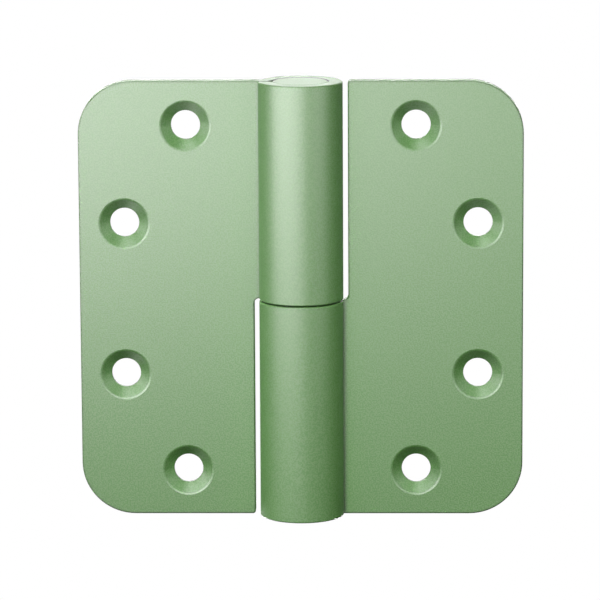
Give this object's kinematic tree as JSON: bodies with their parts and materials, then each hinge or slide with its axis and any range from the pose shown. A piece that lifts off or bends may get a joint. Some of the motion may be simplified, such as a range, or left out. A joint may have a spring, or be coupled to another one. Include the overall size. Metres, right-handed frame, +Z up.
{
  "type": "lift-off hinge",
  "caption": "Coated steel lift-off hinge: rounded leaves with rolled knuckles and countersunk screw holes, swinging on a fixed pin with a bearing ball; the upper leaf lifts off.",
  "frame": {"origin": "on the pin axis, halfway up the hinge, which is the centre of the open hinge", "axes": "+Z up along the pin, +X from the pin towards the frame leaf's outer edge, +Y from the countersunk faces towards the backs that lie on door and frame"},
  "size_m": [0.0896, 0.017, 0.089],
  "materials": {
    "green_coat": "satin, fine grain",
    "pin_steel": "drawn and lightly oiled",
    "ball_steel": "ground and polished"
  },
  "bodies": {
    "frame_side": {"frame_leaf": "green_coat", "hinge_pin": "pin_steel"},
    "ball": {"bearing_ball": "ball_steel"},
    "door_side": {"door_leaf": "green_coat", "top_plug": "green_coat"}
  },
  "joints": [
    {"name": "swing", "type": "hinge", "parent": "frame_side", "child": "ball", "pos_m": [0, 0, 0], "axis": [0, 0, 1], "range_deg": [-140, 180]},
    {"name": "lift_off", "type": "slide", "parent": "ball", "child": "door_side", "axis": [0, 0, 1], "range_m": [0, 0.036]}
  ]
}
